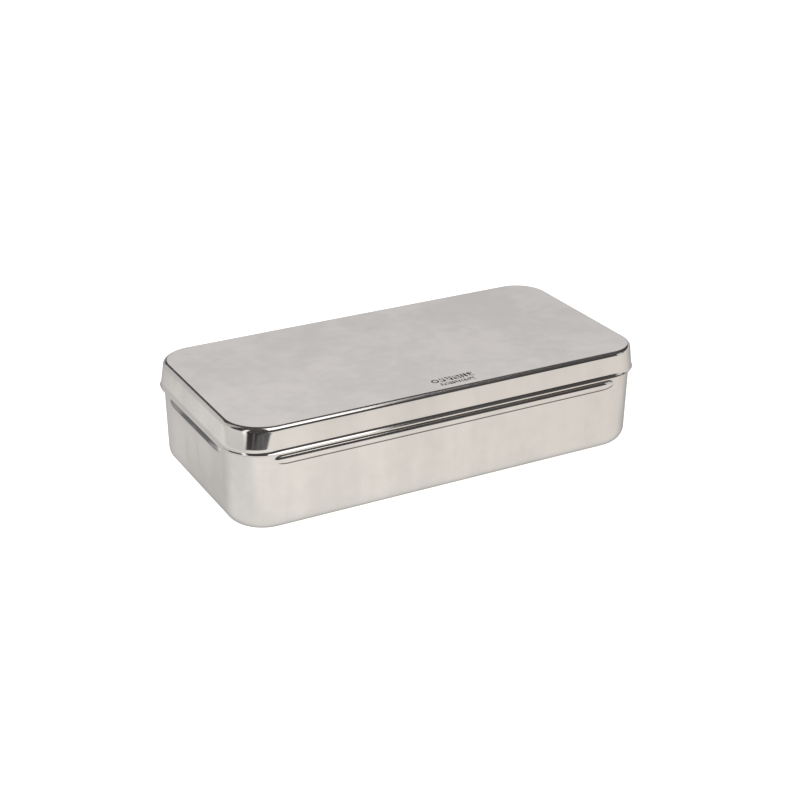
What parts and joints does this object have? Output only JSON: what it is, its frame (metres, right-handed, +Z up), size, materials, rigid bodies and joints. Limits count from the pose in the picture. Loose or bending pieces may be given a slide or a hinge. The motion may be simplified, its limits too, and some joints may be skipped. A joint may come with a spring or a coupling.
{
  "type": "instrument tray",
  "caption": "Rectangular pressed stainless steel instrument tray with rounded corners, beaded walls and a lift-off lid that slips over its neck.",
  "frame": {"origin": "centre of the tray's underside, on the surface it stands on", "axes": "+X along the long side, +Y across the short side towards the back, +Z up towards the lid"},
  "size_m": [0.2, 0.1008, 0.0474],
  "materials": {
    "tray_steel": "satin stainless, soft reflections with faint drawing marks",
    "lid_steel": "polished stainless, slightly cloudy on the top"
  },
  "bodies": {
    "tray": {"base_tray": "tray_steel"},
    "lid": {"lid": "lid_steel"}
  },
  "joints": [
    {"name": "lid_lift", "type": "slide", "parent": "tray", "child": "lid", "axis": [0, 0, 1], "range_m": [0, 0.06]}
  ]
}
